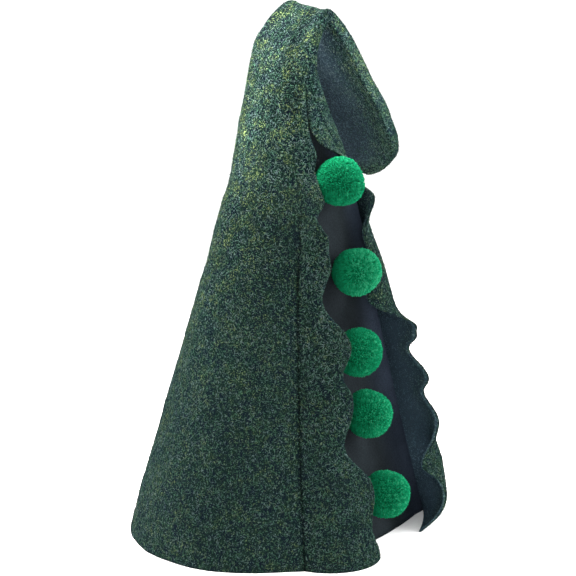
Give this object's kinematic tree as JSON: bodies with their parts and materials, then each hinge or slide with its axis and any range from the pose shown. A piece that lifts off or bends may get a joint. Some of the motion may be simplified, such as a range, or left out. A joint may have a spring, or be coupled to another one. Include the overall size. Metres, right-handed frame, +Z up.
{
  "type": "pea pod costume hat",
  "caption": "Child's tall felt pea pod hat: a hollow cone with a flopped-over tip, slit open in front between scalloped lips to show pompom peas on a dark panel.",
  "frame": {"origin": "middle of the hat's box at the plane of the hem", "axes": "+Z up the cone, -Y the front with the slit and the peas, +X to the wearer's left, the side to which the tip falls"},
  "size_m": [0.191, 0.173, 0.2974],
  "materials": {
    "felt_green": "mottled wool felt",
    "cloth_dark": "plain dark cloth",
    "pompom_green": "fluffy yarn"
  },
  "bodies": {
    "root": {"crown": "felt_green", "lip_right": "felt_green", "lip_left": "felt_green", "front_panel": "cloth_dark", "pea_1": "pompom_green", "pea_2": "pompom_green", "pea_3": "pompom_green", "pea_4": "pompom_green", "pea_5": "pompom_green"}
  },
  "joints": []
}
